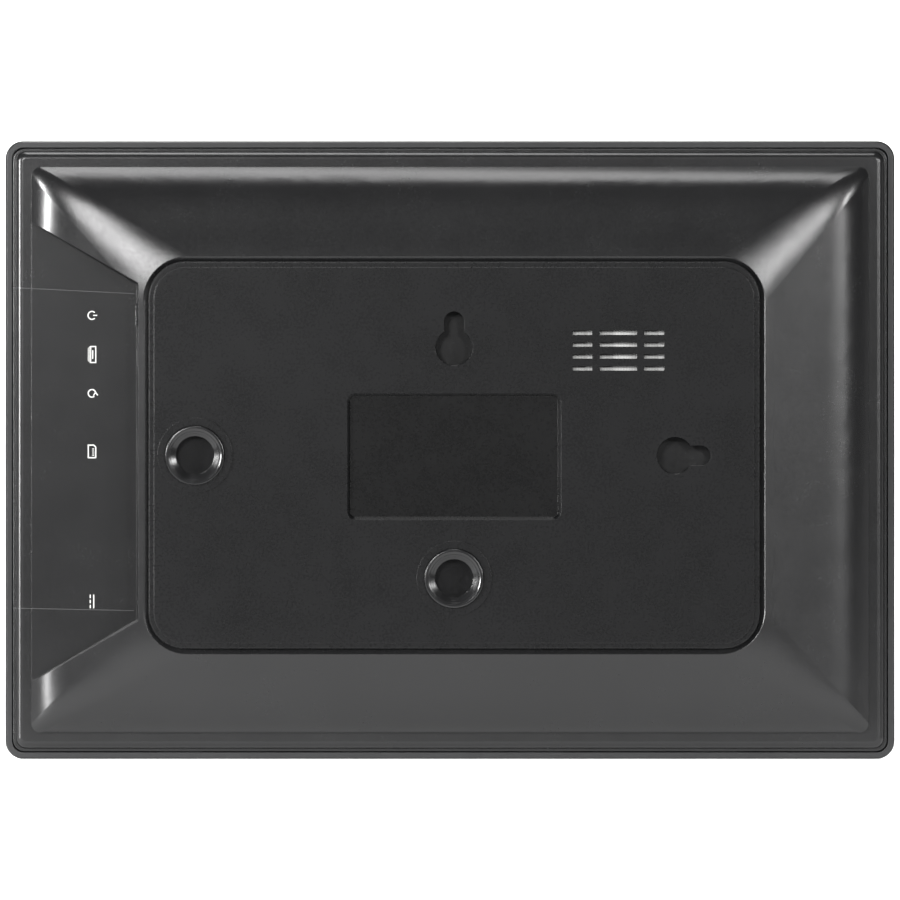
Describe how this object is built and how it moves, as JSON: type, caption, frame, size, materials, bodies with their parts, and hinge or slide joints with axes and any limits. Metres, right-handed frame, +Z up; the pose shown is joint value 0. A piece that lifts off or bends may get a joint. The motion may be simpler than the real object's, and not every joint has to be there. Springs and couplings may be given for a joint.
{
  "type": "digital photo frame",
  "caption": "Flat digital photo frame seen as a full assembly, with a rear plate, wall keyholes, stand sockets and a side connector bay.",
  "frame": {"origin": "middle of the bottom edge, half way through the thickness", "axes": "+X along the width, -Y the way the screen faces, +Z up"},
  "size_m": [0.259, 0.025, 0.18],
  "materials": {
    "bezel_black": "finely grained moulding",
    "cover_black": "finely grained moulding",
    "plate_black": "finely grained moulding",
    "socket_black": "smooth moulding",
    "button_black": "smooth moulding",
    "cover_glass": "polished",
    "panel_glass": "polarising film",
    "foam": "closed-cell foam",
    "tape": "adhesive film",
    "film": "frosted film",
    "acrylic": "clear, dotted underside",
    "reflector": "white film",
    "led_board": "white flexible board",
    "led": "phosphor lens",
    "steel": "stamped sheet",
    "zinc": "zinc-plated",
    "screw_steel": "black zinc",
    "port_steel": "nickel-plated",
    "polyimide": "amber film",
    "pcb_green": "solder mask",
    "chip_black": "moulding compound",
    "can_steel": "tin-plated",
    "ferrite": "pressed ferrite",
    "ceramic_tan": "ceramic",
    "crystal_can": "gold-tinted lid",
    "connector_white": "moulded nylon",
    "connector_black": "moulded nylon",
    "mesh_grey": "fine woven mesh",
    "basket_black": "moulded",
    "cone_grey": "formed film",
    "magnet": "nickel-plated",
    "lead_red": "wire insulation",
    "coax_black": "cable sheath",
    "aerial": "printed film",
    "brass": "machined",
    "pin_steel": "plated",
    "spring_bronze": "stamped",
    "plunger_black": "moulded"
  },
  "bodies": {
    "body": {"front_bezel": "bezel_black", "bezel_gasket": "foam", "touch_glass": "cover_glass", "touch_tape": "tape", "lcd_cell": "panel_glass", "optical_films": "film", "light_guide": "acrylic", "reflector_sheet": "reflector", "led_strip": "led_board", "backlight_leds": "led", "backlight_tray": "steel", "panel_brackets": "zinc", "bracket_screws": "screw_steel", "rear_cover": "cover_black", "rear_plate": "plate_black", "stand_socket_bottom": "socket_black", "stand_socket_side": "socket_black", "cover_screws": "screw_steel", "tray_posts": "brass", "speaker_mesh": "mesh_grey", "speaker_gasket": "foam", "speaker_basket": "basket_black", "speaker_cone": "cone_grey", "speaker_magnet": "magnet", "speaker_screws": "screw_steel", "main_pcb": "pcb_green", "pcb_posts": "brass", "pcb_screws": "screw_steel", "processor": "chip_black", "memory_chip": "chip_black", "flash_chip": "chip_black", "shield_can": "can_steel", "wifi_module": "can_steel", "power_inductors": "ferrite", "chip_capacitors": "ceramic_tan", "crystal": "crystal_can", "lcd_connector": "connector_black", "touch_connector": "connector_black", "lcd_flex": "polyimide", "touch_flex": "polyimide", "usb_socket": "port_steel", "usb_tongue": "connector_black", "card_socket": "port_steel", "dc_jack": "connector_black", "dc_jack_pin": "pin_steel", "dc_jack_contact": "spring_bronze", "power_switch": "connector_black", "reset_switch": "port_steel", "speaker_connector": "connector_white", "speaker_plug": "connector_white", "speaker_leads": "lead_red", "wifi_aerial": "aerial", "aerial_lead": "coax_black"},
    "power_button": {"power_button": "button_black"},
    "power_switch_plunger": {"power_switch_plunger": "plunger_black"},
    "reset_plunger": {"reset_plunger": "plunger_black"},
    "card_slider": {"card_slider": "connector_white"}
  },
  "joints": [
    {"name": "power_button_press", "type": "slide", "parent": "body", "child": "power_button", "axis": [-1, 0, 0], "range_m": [0, 0.0004], "stiffness_N_per_m": 4000, "springref_m": -0.0001},
    {"name": "power_switch_press", "type": "slide", "parent": "body", "child": "power_switch_plunger", "axis": [-1, 0, 0], "range_m": [0, 0.0004]},
    {"name": "reset_press", "type": "slide", "parent": "body", "child": "reset_plunger", "axis": [-1, 0, 0], "range_m": [0, 0.00025], "stiffness_N_per_m": 4000, "springref_m": -0.0001},
    {"name": "card_eject_slide", "type": "slide", "parent": "body", "child": "card_slider", "axis": [-1, 0, 0], "range_m": [0, 0.001], "stiffness_N_per_m": 500, "springref_m": -0.0002}
  ],
  "couplings": [
    {"joint": "power_switch_press", "follows": "power_button_press", "ratio": 1}
  ]
}
